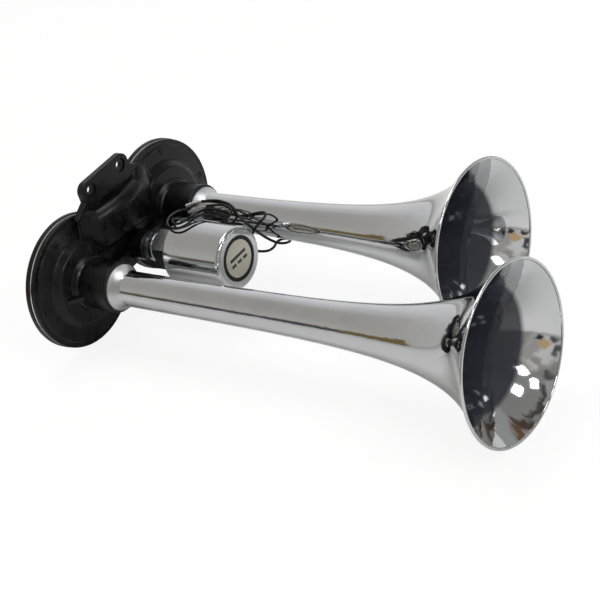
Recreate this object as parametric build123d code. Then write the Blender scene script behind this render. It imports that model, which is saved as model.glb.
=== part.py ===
from build123d import *
import os
from math import exp, radians, sqrt, tan

# Twin-trumpet air horn with its solenoid valve. Millimetres.
# +X runs along the trumpets towards their bells, +Z towards the top of the mounting tab.
# The origin is midway between the two bolt holes, on the back face of the tab.

# --- layout --------------------------------------------------------------------------
axis_drop = 53.0            # from the bolt holes down to the plane of the trumpet axes
cover_back_x = -8.0         # back faces of the covers, behind the back face of the tab
long_rim_x = 335.5          # mouth of the long trumpet
short_rim_x = 262.8         # mouth of the short trumpet
fit_gap = 0.1               # between pieces that are assembled and stay still
slide_gap = 0.08            # between the plunger and its guide tube

# --- diaphragm stack, from the back --------------------------------------------------
cover_r = 46.0
housing_gap = 1.5           # between the edges of the two covers
cover_thickness = 3.6
gasket_thickness = 0.4
diaphragm_thickness = 0.3
clamp_ring_thickness = 0.9
stack_inset = 0.5           # how far the thin discs lie inside the covers' edge
clamped_width = 12.0        # width of the clamped border
cover_recess = 1.6          # room behind the diaphragm
cover_rib_height = 0.8
cover_boss_r = 9.0
cover_rib_r = 23.0
cover_rib_width = 2.4
screw_count = 5
screw_inset = 7.5           # of the screw circle from the covers' edge
screw_r = 1.5
screw_head_r = 2.9
screw_head_height = 1.8
screw_head_recess = 2.1
screw_socket_r = 1.1
screw_socket_depth = 0.9

# --- casting: housings and necks -------------------------------------------------------
flange_inset = 0.3          # of the housing's flange from the covers' edge
flange_front_x = 0.0
lip_inset = 4.3             # of the raised face from the flange's edge
lip_height = 1.0
shoulder_inset = 9.9        # of the shoulder's foot from the raised face's edge
shoulder_run = 4.0
shoulder_foot_x = 2.4
shoulder_top_x = 7.0
neck_root_r = 19.4
neck_root_x = 8.2
neck_r = 17.2
neck_collar_end_x = 12.0
neck_end_x = 35.0
chamber_wall = 1.0          # between the chamber and the shoulder, across the axis
chamber_floor_x = 3.4
throat_wall = 3.4
throat_r = 8.0
throat_lip_gap = 0.1        # between the throat's lip and the resting diaphragm
socket_floor_x = 14.0
outer_gusset_length = 8.0
outer_gusset_height = 8.5
gusset_thickness = 2.4

# --- casting: gallery block, web, tab --------------------------------------------------
gallery_half_width = 25.4
gallery_side_x = 9.5
gallery_front_x = 16.5
gallery_bottom = 13.0       # above the trumpet axes
gallery_top_round = 8.5
gallery_bottom_round = 4.0
web_half_width = 31.0
web_front_x = 8.5
web_bottom = -15.0
web_round = 3.0
dimple_r = 2.3
dimple_depth = 0.7
dimple_y = 5.0
dimple_height = 30.5
tab_half_width = 24.0
tab_thickness = 5.0
tab_top = 6.8               # above the bolt holes
tab_foot = 34.0             # above the trumpet axes
tab_corner_r = 6.5
tab_edge_round = 0.8
bolt_spacing = 31.2
bolt_hole_r = 2.7
bolt_recess_r = 4.8
bolt_recess_depth = 1.2
wing_back_x = 0.5
wing_round = 0.8
wing_inner_y = 23.0
wing_inner_foot = 38.0      # heights of the wing's corners above the trumpet axes
wing_inner_top = 49.0
wing_crest_y = 27.0
wing_crest = 46.8
wing_shoulder_y = 36.2
wing_shoulder = 41.5
wing_tip_y = 40.2
wing_tip = 26.9
wing_root_y = 25.4
wing_root = 34.9

# --- casting: valve boss and air ways --------------------------------------------------
boss_r = 10.4
boss_end_x = 24.0
boss_rib_thickness = 3.0
boss_rib_front_x = 13.0
valve_bore_floor_x = 8.0
seat_height = 1.5
seat_r = 3.3
outlet_r = 1.8
cross_way_r = 1.9
cross_way_x = 0.4
inlet_height = 30.5         # of the air inlet above the trumpet axes
inlet_boss_r = 7.6
inlet_mouth_x = -6.5
inlet_thread_r = 4.4
inlet_thread_length = 10.0
inlet_drill_r = 2.2
feed_way_r = 1.9
feed_way_x = 10.8

# --- trumpets --------------------------------------------------------------------------
bell_r = 55.2               # outer radius at the mouth
tube_r = 11.7               # outer radius of the slim end
slow_rise = 24.9            # part of the bell's growth that dies away slowly
slow_length = 52.0
quick_length = 26.0         # decay of the rest of the growth
trumpet_wall = 1.1
spigot_r = 10.8
spigot_bore_r = 9.6
collar_r = 15.4
collar_edge = 0.9
collar_length = 8.0
collar_hollow = 0.7         # how far the collar's flare is hollowed
bell_stations = 13
seal_thickness = 0.7
seal_r = 16.3

# --- solenoid valve --------------------------------------------------------------------
stem_r = 6.5
stem_tip_gap = 2.5          # from the end of the stem to the floor of its bore
stem_washer_r = 9.3
stem_washer_thickness = 1.4
round_collar_r = 10.0
round_collar_x = 28.5
round_collar_length = 4.0
collar_groove_r = 8.0
hex_x = 38.0
hex_width = 27.0            # across flats
hex_length = 14.8
hex_chamfer = 1.2
guide_outer_r = 5.35
guide_inner_r = 5.0
guide_start_x = 12.4
can_r = 21.4
can_wall = 1.1
can_start_x = 53.4
can_end_x = 101.0
can_end_thickness = 3.0
can_rim_round = 2.6
yoke_thickness = 2.6
bobbin_hub_wall = 1.0
bobbin_flange_r = 17.6
bobbin_flange_thickness = 1.4
coil_r = 16.6
badge_recess_depth = 1.1
badge_ring_outer_r = 15.4
badge_ring_inner_r = 13.3
badge_thickness = 1.0
badge_ring_thickness = 1.3

# --- plunger, seat seal and spring -----------------------------------------------------
stroke = 2.0
plunger_nose_r = 4.3
plunger_nose_length = 4.0
plunger_end_x = 62.0
seal_disc_r = 3.4
seal_disc_thickness = 2.4
seal_seat_gap = 0.05
seal_proud = 0.7            # how far the rubber stands out of the plunger's nose
core_gap = 0.3              # left between plunger and core when the valve is open
spring_wire_r = 0.3
spring_r = 1.9              # mean coil radius
spring_turns = 5
spring_pocket_r = 2.6
spring_pocket_depth = 11.0

# --- leads -----------------------------------------------------------------------------
grommet_x = 59.0
grommet_angle = -22.0       # degrees from +Y towards +Z, about the can's axis
grommet_r = 4.0
grommet_neck_r = 3.1
grommet_height = 2.6
grommet_round = 0.7
grommet_tail = 0.6          # how far the neck reaches inside the can
wire_d = 1.8
wire_tip_d = 1.5
wire_pitch = 3.0            # between the two leads at the grommet
wire_stand_off = 4.7        # how far a lead runs straight out of the grommet
wire_bend_share = 0.45      # of the shorter run, taken by the arc at a bend

# Routes of the two leads, from where they have left the grommet to where the bare
# tips begin: x from the tab's back face, y, height above the trumpet axes.
lead_a_route = [
    (63.6, 29.2, -12.9),
    (69.0, 29.6, -13.8),
    (77.5, 29.4, -14.8),
    (86.0, 28.4, -15.0),
    (93.4, 28.4, -15.2),
    (98.6, 31.0, -15.6),
    (99.4, 36.4, -15.6),
    (97.8, 42.0, -15.8),
    (99.6, 47.4, -16.8),
    (105.0, 49.0, -17.2),
    (109.2, 45.4, -16.6),
    (109.4, 40.0, -14.8),
    (105.8, 36.0, -12.2),
    (102.2, 32.4, -7.8),
    (98.8, 29.6, -2.6),
    (94.4, 28.4, 2.8),
    (88.0, 28.8, 7.1),
    (80.6, 31.6, 10.3),
    (72.2, 35.6, 12.6),
    (63.4, 38.8, 13.4),
    (54.4, 39.6, 13.2),
    (46.0, 38.4, 13.2),
    (40.4, 36.4, 12.0),
    (36.2, 31.0, 10.6),
    (37.4, 23.8, 14.6),
    (40.8, 15.4, 18.2),
    (44.8, 7.6, 20.8),
    (50.4, 0.8, 22.9),
    (57.4, -3.6, 23.2),
    (64.0, -4.0, 23.3),
    (69.0, -0.4, 23.7),
    (71.2, 6.4, 23.9),
    (70.8, 13.4, 21.8),
    (69.6, 20.0, 16.6),
    (69.4, 24.6, 10.6),
    (72.4, 26.8, 6.6),
    (78.8, 28.6, 7.8),
    (79.6, 30.6, 13.2),
    (74.6, 32.8, 17.0),
    (66.6, 34.6, 18.0),
    (58.0, 35.4, 17.6),
    (49.4, 33.6, 16.8),
]
lead_a_tip_end = (38.6, 28.4, 15.2)
lead_b_route = [
    (57.5, 28.4, -14.0),
    (63.5, 28.2, -18.0),
    (72.5, 27.2, -19.8),
    (82.0, 26.2, -18.6),
    (88.2, 25.2, -13.4),
    (90.8, 24.8, -7.4),
    (93.0, 24.8, -1.4),
    (97.0, 25.2, 3.6),
    (102.0, 26.8, 7.6),
    (106.8, 29.4, 10.4),
    (109.0, 33.0, 12.0),
    (106.8, 36.8, 12.6),
    (102.4, 37.8, 11.8),
    (97.4, 37.0, 10.4),
    (92.6, 36.4, 9.6),
    (84.4, 34.8, 8.2),
    (76.4, 34.4, 7.6),
    (67.4, 35.2, 8.6),
    (58.2, 36.2, 9.4),
    (50.0, 35.4, 9.6),
    (44.6, 32.0, 8.6),
    (41.2, 27.4, 5.8),
    (41.8, 20.6, 10.4),
    (44.2, 14.2, 15.8),
    (48.6, 8.4, 20.4),
    (54.2, 3.6, 23.2),
    (60.4, 1.8, 23.5),
    (65.4, 5.0, 23.6),
    (67.0, 11.6, 22.4),
    (66.0, 18.4, 18.4),
    (64.8, 23.8, 14.0),
    (66.8, 27.0, 11.2),
    (71.2, 27.6, 11.4),
    (73.6, 30.4, 13.0),
    (71.2, 33.2, 14.6),
    (66.6, 34.0, 15.2),
    (60.4, 33.4, 15.2),
    (54.2, 31.8, 14.6),
]
lead_b_tip_end = (41.0, 26.8, 11.2)

# --- sizes that follow from the ones above ---------------------------------------------
half_spacing = cover_r + housing_gap / 2
screw_circle_r = cover_r - screw_inset
flange_r = cover_r - flange_inset
lip_r = flange_r - lip_inset
shoulder_outer_r = lip_r - shoulder_inset
shoulder_inner_r = shoulder_outer_r - shoulder_run
chamber_r = shoulder_inner_r - chamber_wall
cover_front_x = cover_back_x + cover_thickness
diaphragm_back_x = cover_front_x + gasket_thickness
diaphragm_front_x = diaphragm_back_x + diaphragm_thickness
housing_back_x = diaphragm_front_x + clamp_ring_thickness
clamped_inner_r = cover_r - clamped_width
seat_top_x = valve_bore_floor_x + seat_height
seal_end_x = neck_end_x + seal_thickness
hex_end_x = hex_x + hex_length
can_bore_r = can_r - can_wall
can_floor_x = can_end_x - can_end_thickness
core_start_x = plunger_end_x + stroke + core_gap
corner_reach = half_spacing - tab_half_width   # from a horn's axis to the tab's near side
gallery_top = sqrt(cover_r**2 - corner_reach**2) + fit_gap


def bar(x0, x1, radius):
    """Round bar along X between two stations."""
    rod = Cylinder(radius, x1 - x0, align=(Align.CENTER, Align.CENTER, Align.MIN))
    return Pos(x0, 0, 0) * Rot(0, 90, 0) * rod


def ring(x0, x1, outer_r, inner_r):
    """Ring about X between two stations."""
    return bar(x0, x1, outer_r) - bar(x0, x1, inner_r)


def turned(line):
    """Solid turned about X from a closed outline of x and radius."""
    return revolve(make_face(line), Axis.X)


def around(shape, count, radius):
    """Copies of a shape that stands at the X axis, set on a circle about X."""
    step = 360 / count
    return [Rot(k * step, 0, 0) * Pos(0, radius, 0) * shape for k in range(count)]


def at_axis(shape, y=0.0):
    """Moves a shape from the X axis to the plane of the trumpet axes."""
    return Pos(0, y, -axis_drop) * shape


# --- diaphragm stack -------------------------------------------------------------------
def screw_holes(x0, x1, radius):
    """Cutters for the cover screws."""
    return around(bar(x0, x1, radius), screw_count, screw_circle_r)


def back_cover():
    """Cover with a clamped rim, a shallow ribbed back and room for the diaphragm."""
    floor_x = cover_back_x + cover_rib_height
    rim_inner_r = clamped_inner_r - 1.0
    body = bar(cover_back_x, cover_front_x, cover_r)
    body = fillet(body.edges().filter_by(GeomType.CIRCLE).sort_by(Axis.X)[0], 1.0)
    body -= ring(cover_back_x, floor_x, rim_inner_r, cover_rib_r + cover_rib_width)
    body -= ring(cover_back_x, floor_x, cover_rib_r, cover_boss_r)
    body -= bar(cover_front_x - cover_recess, cover_front_x, clamped_inner_r)
    recess_x = cover_back_x + screw_head_recess
    body -= screw_holes(cover_back_x, recess_x, screw_head_r + fit_gap)
    body -= screw_holes(recess_x, cover_front_x, screw_r + fit_gap)
    return body


def clamped_disc(x0, x1, inner_r):
    """Thin disc or ring of the clamped border, with its screw holes."""
    disc = bar(x0, x1, cover_r - stack_inset)
    if inner_r:
        disc -= bar(x0, x1, inner_r)
    return disc - screw_holes(x0, x1, screw_r + fit_gap)


def cover_screws():
    """Socket screws that hold the cover, one solid each."""
    head_x = cover_back_x + screw_head_recess - screw_head_height
    screw = bar(head_x, head_x + screw_head_height, screw_head_r)
    screw -= bar(head_x, head_x + screw_socket_depth, screw_socket_r)
    screw += bar(head_x + screw_head_height, flange_front_x - lip_height, screw_r)
    return around(screw, screw_count, screw_circle_r)


# --- casting ---------------------------------------------------------------------------
def housing_form():
    """Outside of one housing and its neck, solid."""
    corners = [
        (housing_back_x, 0.0),
        (housing_back_x, flange_r),
        (flange_front_x, flange_r),
        (flange_front_x, lip_r + lip_height),
        (flange_front_x + lip_height, lip_r),
        (shoulder_foot_x, shoulder_outer_r),
        (shoulder_top_x, shoulder_inner_r),
        (neck_root_x, neck_root_r),
        (neck_collar_end_x - lip_height, neck_root_r - lip_height),
        (neck_collar_end_x, neck_r),
        (neck_end_x, neck_r),
        (neck_end_x, 0.0),
    ]
    rounds = [0, 0.8, 0, 0.3, 2.5, 2.5, 0.5, 0.6, 0, 1.0]
    contour = FilletPolyline(*corners, radius=rounds)
    axis_line = Line(corners[-1], corners[0])
    return turned([contour, axis_line])


def outer_gusset():
    """Small triangular rib on the outer side of a neck."""
    inner = neck_r - 1.0
    outline = Polyline(
        (neck_root_x - 1.0, inner),
        (neck_root_x - 1.0, neck_r + outer_gusset_length),
        (neck_root_x + outer_gusset_height, inner),
        close=True,
    )
    return extrude(make_face(outline), gusset_thickness / 2, both=True)


def housing_cuts():
    """Chamber round the throat, throat bore and trumpet socket of one housing."""
    throat_tip_x = diaphragm_front_x + throat_lip_gap
    socket_r = spigot_r + fit_gap
    chamber = ring(housing_back_x, chamber_floor_x, chamber_r, throat_r + throat_wall)
    throat = bar(throat_tip_x, socket_floor_x, throat_r)
    socket = bar(socket_floor_x, neck_end_x, socket_r)
    return chamber + throat + socket


def throat_lip():
    """The stretch of throat that stands past the housing's back, up to the diaphragm."""
    return bar(diaphragm_front_x + throat_lip_gap, chamber_floor_x, throat_r + throat_wall)


def gallery_block():
    """Block between the housings: bowed front, rounded top and bottom edges."""
    plan = make_face([
        Polyline(
            (gallery_side_x, gallery_half_width),
            (housing_back_x, gallery_half_width),
            (housing_back_x, -gallery_half_width),
            (gallery_side_x, -gallery_half_width),
        ),
        ThreePointArc(
            (gallery_side_x, -gallery_half_width),
            (gallery_front_x, 0.0),
            (gallery_side_x, gallery_half_width),
        ),
    ])
    block = Pos(0, 0, gallery_bottom) * extrude(plan, gallery_top - gallery_bottom)
    front = block.edges().filter_by(GeomType.CIRCLE).sort_by(Axis.Z)
    block = fillet(front[-1], gallery_top_round)
    front = block.edges().filter_by(GeomType.CIRCLE).sort_by(Axis.Z)
    return fillet(front[0], gallery_bottom_round)


def web():
    """Flat web that ties the two housings together below the gallery."""
    size_x = web_front_x - housing_back_x
    size_z = gallery_bottom + web_round - web_bottom
    low = (Align.MIN, Align.CENTER, Align.MIN)
    slab = Pos(housing_back_x, 0, web_bottom) * Box(size_x, 2 * web_half_width, size_z, align=low)
    foot = slab.edges().filter_by(Axis.Y).sort_by(Axis.Z)[:2]
    return fillet(foot.sort_by(Axis.X)[-1], web_round)


def mounting_tab():
    """Upright tab with two recessed bolt holes, placed on the trumpet axes' plane."""
    top = axis_drop + tab_top
    outline = FilletPolyline(
        (-tab_half_width, tab_foot),
        (-tab_half_width, top),
        (tab_half_width, top),
        (tab_half_width, tab_foot),
        radius=tab_corner_r,
    )
    face = make_face([outline, Line(outline @ 1, outline @ 0)])
    tab = extrude(Plane.YZ * face, tab_thickness)
    rim = tab.edges().group_by(Axis.X)[-1].sort_by(Axis.Z)[1:]
    return fillet(rim, tab_edge_round)


def tab_bolt_cuts():
    """Bolt holes of the tab and the recesses on its front."""
    hole = bar(-tab_thickness, 2 * tab_thickness, bolt_hole_r)
    recess = bar(tab_thickness - bolt_recess_depth, tab_thickness + 1.0, bolt_recess_r)
    pair = hole + recess
    return [Pos(0, side * bolt_spacing / 2, axis_drop) * pair for side in (-1, 1)]


def tab_wing(side):
    """Wedge that runs from the tab's side down to the front of a housing."""
    corners = [
        (wing_inner_y, wing_inner_top),
        (wing_crest_y, wing_crest),
        (wing_shoulder_y, wing_shoulder),
        (wing_tip_y, wing_tip),
        (wing_root_y, wing_root),
        (wing_inner_y, wing_inner_foot),
    ]
    outline = Polyline(*[(side * y, height) for y, height in corners], close=True)
    wedge = extrude(Plane.YZ * make_face(outline), tab_thickness - wing_back_x)
    front = wedge.edges().group_by(Axis.X)[-1]
    outer = front.filter_by(lambda edge: abs(edge.center().Y) > wing_inner_y + 1.0)
    return Pos(wing_back_x, 0, 0) * fillet(outer, wing_round)


def valve_boss():
    """Round boss for the valve, with flat ribs out to both necks."""
    boss = bar(housing_back_x, boss_end_x, boss_r)
    boss = chamfer(boss.edges().filter_by(GeomType.CIRCLE).sort_by(Axis.X)[-1], 0.8)
    low = (Align.MIN, Align.CENTER, Align.CENTER)
    rib_length = boss_rib_front_x - housing_back_x
    rib = Box(rib_length, 2 * web_half_width, boss_rib_thickness, align=low)
    return boss + Pos(housing_back_x, 0, 0) * rib


def air_ways():
    """Cutters for the valve bore, the outlet, the cross way and the feed from the inlet."""
    seat = ring(valve_bore_floor_x, seat_top_x, seat_r, outlet_r)
    bore = bar(valve_bore_floor_x, boss_end_x, stem_r + fit_gap) - seat
    outlet = bar(cross_way_x, seat_top_x, outlet_r)
    cross_reach = half_spacing - throat_r - throat_wall - 2.0
    cross = Cylinder(cross_way_r, 2 * cross_reach, rotation=(90, 0, 0))
    inlet = bar(inlet_mouth_x, inlet_mouth_x + inlet_thread_length, inlet_thread_r)
    inlet += bar(inlet_mouth_x, feed_way_x, inlet_drill_r)
    feed_length = inlet_height - stem_r + 1.0
    feed = Cylinder(feed_way_r, feed_length, align=(Align.CENTER, Align.CENTER, Align.MAX))
    return [
        bore,
        outlet,
        Pos(cross_way_x, 0, 0) * cross,
        Pos(0, 0, inlet_height) * inlet,
        Pos(feed_way_x, 0, inlet_height) * feed,
    ]


def horn_base():
    """The one-piece casting."""
    body = gallery_block() + web() + mounting_tab() + valve_boss()
    body += Pos(0, 0, inlet_height) * bar(inlet_mouth_x, gallery_side_x, inlet_boss_r)
    for side in (-1, 1):
        body += Pos(0, side * half_spacing, 0) * (housing_form() + throat_lip())
        body += Pos(0, side * half_spacing, 0) * Rot(0 if side > 0 else 180, 0, 0) * outer_gusset()
        body += tab_wing(side)
    for side in (-1, 1):
        pilots = screw_holes(housing_back_x, flange_front_x + lip_height, screw_r + fit_gap / 2)
        body -= Pos(0, side * half_spacing, 0) * housing_cuts()
        body -= [Pos(0, side * half_spacing, 0) * pilot for pilot in mirrored(pilots, side)]
    body -= air_ways()
    body -= tab_bolt_cuts()
    body -= Pos(gallery_front_x - dimple_depth, dimple_y, dimple_height) * bar(0, 3.0, dimple_r)
    return body


def mirrored(shapes, side):
    """Shapes of the short side as they are, and turned over for the long side."""
    return shapes if side > 0 else [mirror(shape, Plane.XZ) for shape in shapes]


# --- trumpets --------------------------------------------------------------------------
def bell_radius(distance):
    """Outer radius at a distance back from the mouth."""
    quick_rise = bell_r - tube_r - slow_rise
    slow = slow_rise * exp(-distance / slow_length)
    quick = quick_rise * exp(-distance / quick_length)
    return tube_r + slow + quick


def bell_slope(distance):
    """How fast the outer radius grows towards the mouth."""
    step = 0.01
    return (bell_radius(distance) - bell_radius(distance + step)) / step


def bell_point(rim_x, distance, inset):
    """Point of the wall, inset from its outer skin at a right angle."""
    slope = bell_slope(distance)
    length = sqrt(1 + slope**2)
    x = rim_x - distance + inset * slope / length
    return (x, bell_radius(distance) - inset / length)


def trumpet(rim_x):
    """Thin-walled trumpet: spigot, seat collar, slim tube and flared bell."""
    collar_end_x = seal_end_x + collar_edge + collar_length
    reach = rim_x - collar_end_x
    lip = trumpet_wall
    stations = [lip + (reach - lip) * (k / bell_stations) ** 1.7 for k in range(bell_stations + 1)]
    outer = [bell_point(rim_x, d, 0.0) for d in reversed(stations)]
    inner = [bell_point(rim_x, d, trumpet_wall) for d in stations]
    tip = bell_point(rim_x, 0.0, trumpet_wall / 2)
    skin = Spline(*outer)
    lining = Spline(*inner)
    edge = ThreePointArc(outer[-1], tip, inner[0])
    back = Polyline(
        inner[-1],
        (seal_end_x, spigot_bore_r),
        (socket_floor_x + fit_gap, spigot_bore_r),
        (socket_floor_x + fit_gap, spigot_r),
        (seal_end_x, spigot_r),
        (seal_end_x, collar_r),
        (seal_end_x + collar_edge, collar_r),
    )
    foot = back @ 1
    hollow = ((foot.X + outer[0][0]) / 2, (foot.Y + outer[0][1]) / 2 - collar_hollow)
    flare = ThreePointArc((foot.X, foot.Y), hollow, outer[0])
    return turned([skin, edge, lining, back, flare])


def trumpet_seal():
    """Rubber ring between a neck and a trumpet's collar."""
    return ring(neck_end_x, seal_end_x, seal_r, spigot_r + fit_gap)


# --- solenoid valve --------------------------------------------------------------------
def hex_bar():
    """Hexagon of the valve body with turned corners."""
    blank = extrude(RegularPolygon(hex_width / 2, 6, major_radius=False, rotation=0), hex_length)
    blank = Pos(hex_x, 0, 0) * Rot(0, 90, 0) * blank
    corner_r = hex_width / sqrt(3)
    limit = bar(hex_x, hex_end_x, corner_r)
    limit = chamfer(limit.edges().filter_by(GeomType.CIRCLE).sort_by(Axis.X)[0], hex_chamfer)
    return blank & limit


def valve_body():
    """Threaded stem, round collar, groove and hexagon, bored for the guide tube."""
    stem_start_x = valve_bore_floor_x + stem_tip_gap
    collar_end_x = round_collar_x + round_collar_length
    collar = bar(round_collar_x, collar_end_x, round_collar_r)
    collar = fillet(collar.edges().filter_by(GeomType.CIRCLE), 0.8)
    body = bar(stem_start_x, round_collar_x, stem_r) + collar
    body += bar(collar_end_x, hex_x, collar_groove_r) + hex_bar()
    return body - bar(stem_start_x, hex_end_x, guide_outer_r + fit_gap / 2)


def solenoid_can():
    """Drawn can with a rounded rim, a recess for the badge and a hole for the grommet."""
    can = bar(can_start_x, can_end_x, can_r)
    can = fillet(can.edges().filter_by(GeomType.CIRCLE).sort_by(Axis.X)[-1], can_rim_round)
    can -= bar(can_start_x, can_floor_x, can_bore_r)
    can -= bar(can_end_x - badge_recess_depth, can_end_x, badge_ring_outer_r + fit_gap)
    return can - on_grommet(bar(can_bore_r - 1.0, can_r + 1.0, grommet_neck_r + fit_gap))


def on_grommet(shape):
    """Turns a shape that stands along X to stand out of the can where the leads leave."""
    return Pos(grommet_x, 0, 0) * Rot(grommet_angle, 0, 0) * Rot(0, 0, 90) * shape


def wire_grommet():
    """Rubber grommet: neck in the can's wall, round head outside."""
    head = bar(can_bore_r, can_r + grommet_height, grommet_r)
    head = fillet(head.edges().filter_by(GeomType.CIRCLE).sort_by(Axis.X)[-1], grommet_round)
    neck = bar(can_bore_r - grommet_tail, can_r + grommet_round, grommet_neck_r)
    outside = on_grommet(head) - bar(can_start_x, can_end_x, can_r)
    return outside + on_grommet(neck)


def bend_radii(points):
    """Radius at each inner point of a lead: as large as its two runs allow."""
    radii = []
    for before, here, after in zip(points, points[1:], points[2:]):
        arriving = here - before
        leaving = after - here
        shorter = min(arriving.length, leaving.length)
        half_turn = radians(arriving.get_angle(leaving)) / 2
        radii.append(wire_bend_share * shorter / tan(half_turn))
    return radii


def wire(name, points, diameter):
    """Round wire of straight runs and tangent arcs; prints its radii and its length."""
    radii = bend_radii(points)
    line = FilletPolyline(*points, radius=radii)
    section = Plane(origin=line @ 0, z_dir=line % 0) * Circle(diameter / 2)
    solid = sweep(section, path=line)
    expected = section.area * line.length
    print(name, "length", round(line.length, 1), "volume share", round(solid.volume / expected, 4))
    print(name, "radii", [round(radius, 1) for radius in radii])
    return solid


def lead(name, place, route, tip_end):
    """One lead from the grommet to its end, and its bare tip."""
    outlet = on_grommet(Pos(can_r + grommet_height, 0, 0) * Vertex(0, 0, 0)).center()
    outward = (outlet - Vector(grommet_x, 0, 0)).normalized()
    start = outlet + Vector(place * wire_pitch / 2, 0, 0)
    points = [start, start + outward * wire_stand_off]
    points += [Vector(*point) for point in route]
    last_run = points[-1] - points[-2]
    tip_points = [points[-1], points[-1] + last_run.normalized() * wire_stand_off]
    tip_points.append(Vector(*tip_end))
    insulated = wire(name, points, wire_d)
    bare = wire(f"{name}_tip", tip_points, wire_tip_d)
    return {name: insulated, f"{name}_tip": bare}


def plunger():
    """Iron plunger: nose with a pocket for the seal, pocket for the spring."""
    nose_x = seat_top_x + seal_seat_gap + seal_proud
    body = bar(nose_x, nose_x + plunger_nose_length, plunger_nose_r)
    body += bar(nose_x + plunger_nose_length, plunger_end_x, guide_inner_r - slide_gap)
    body -= bar(nose_x, nose_x + seal_disc_thickness - seal_proud, seal_disc_r)
    return body - bar(plunger_end_x - spring_pocket_depth, plunger_end_x, spring_pocket_r)


def plunger_seal():
    """Rubber disc in the plunger's nose."""
    start_x = seat_top_x + seal_seat_gap
    return bar(start_x, start_x + seal_disc_thickness, seal_disc_r)


def return_spring():
    """Compression spring between the plunger's pocket and the fixed core."""
    start_x = plunger_end_x - spring_pocket_depth + spring_wire_r
    end_x = core_start_x - spring_wire_r
    length = end_x - start_x
    line = Helix(pitch=length / spring_turns, height=length, radius=spring_r)
    section = Plane(origin=line @ 0, z_dir=line % 0) * Circle(spring_wire_r)
    coil = sweep(section, path=line, is_frenet=True)
    return Pos(start_x, 0, 0) * Rot(0, 90, 0) * coil


def fixed_core():
    """Iron core that closes the guide tube."""
    return bar(core_start_x, can_floor_x, guide_inner_r)


def guide_tube():
    """Thin tube that holds core and plunger."""
    return ring(guide_start_x, can_floor_x, guide_outer_r, guide_inner_r)


def yoke(x0):
    """Iron washer at one end of the winding."""
    return ring(x0, x0 + yoke_thickness, can_bore_r - fit_gap, guide_outer_r + fit_gap)


def bobbin():
    """Spool that carries the winding."""
    x0 = hex_end_x + fit_gap + yoke_thickness
    x1 = can_floor_x - yoke_thickness
    bore_r = guide_outer_r + fit_gap
    spool = bar(x0, x1, bore_r + bobbin_hub_wall)
    spool += bar(x0, x0 + bobbin_flange_thickness, bobbin_flange_r)
    spool += bar(x1 - bobbin_flange_thickness, x1, bobbin_flange_r)
    return spool - bar(x0, x1, bore_r)


def coil():
    """The winding, as one body."""
    x0 = hex_end_x + fit_gap + yoke_thickness + bobbin_flange_thickness
    x1 = can_floor_x - yoke_thickness - bobbin_flange_thickness
    return ring(x0, x1, coil_r, guide_outer_r + fit_gap + bobbin_hub_wall)


def badge_disc():
    """Plain round badge in the can's end."""
    floor_x = can_end_x - badge_recess_depth
    return bar(floor_x, floor_x + badge_thickness, badge_ring_inner_r - fit_gap)


def badge_ring():
    """Black ring round the badge."""
    floor_x = can_end_x - badge_recess_depth
    return ring(floor_x, floor_x + badge_ring_thickness, badge_ring_outer_r, badge_ring_inner_r)


# --- the whole horn --------------------------------------------------------------------
def horn_side(name, side, rim_x):
    """The pieces that each horn has, placed on its axis."""
    inner_r = clamped_inner_r
    pieces = {
        "back_cover": [back_cover()],
        "gasket": [clamped_disc(cover_front_x, diaphragm_back_x, inner_r)],
        "diaphragm": [clamped_disc(diaphragm_back_x, diaphragm_front_x, 0.0)],
        "clamp_ring": [clamped_disc(diaphragm_front_x, housing_back_x, inner_r)],
        "cover_screws": cover_screws(),
        "trumpet": [trumpet(rim_x)],
        "trumpet_seal": [trumpet_seal()],
    }
    return {
        f"{name}_{piece}": [at_axis(shape, side * half_spacing) for shape in mirrored(shapes, side)]
        for piece, shapes in pieces.items()
    }


def valve_pieces():
    """The pieces of the solenoid valve, on the casting's middle axis."""
    washer_end_x = boss_end_x + stem_washer_thickness
    pieces = {
        "stem_washer": ring(boss_end_x, washer_end_x, stem_washer_r, stem_r + fit_gap),
        "valve_body": valve_body(),
        "guide_tube": guide_tube(),
        "fixed_core": fixed_core(),
        "plunger": plunger(),
        "plunger_seal": plunger_seal(),
        "return_spring": return_spring(),
        "front_yoke": yoke(hex_end_x + fit_gap),
        "rear_yoke": yoke(can_floor_x - yoke_thickness),
        "bobbin": bobbin(),
        "coil": coil(),
        "solenoid_can": solenoid_can(),
        "badge_disc": badge_disc(),
        "badge_ring": badge_ring(),
        "wire_grommet": wire_grommet(),
    }
    pieces |= lead("lead_a", 1, lead_a_route, lead_a_tip_end)
    pieces |= lead("lead_b", -1, lead_b_route, lead_b_tip_end)
    return {name: [at_axis(shape)] for name, shape in pieces.items()}


nodes = {"horn_base": [at_axis(horn_base())]}
nodes |= horn_side("long", -1, long_rim_x)
nodes |= horn_side("short", 1, short_rim_x)
nodes |= valve_pieces()

os.makedirs("parts", exist_ok=True)
for node, shapes in nodes.items():
    solids = [solid for shape in shapes for solid in shape.solids()]
    model = solids[0] if len(solids) == 1 else Compound(children=solids)
    export_step(model, f"parts/{node}.step")
    print(node, len(solids), round(sum(solid.volume for solid in solids), 1))
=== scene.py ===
"""Finishes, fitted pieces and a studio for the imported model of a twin-trumpet air horn."""
import logging
from dataclasses import dataclass, field
from enum import Enum
from math import cos, pi, radians, sin
from typing import Any, Callable, Sequence

import bmesh
import bpy
from mathutils import Matrix, Vector


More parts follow.
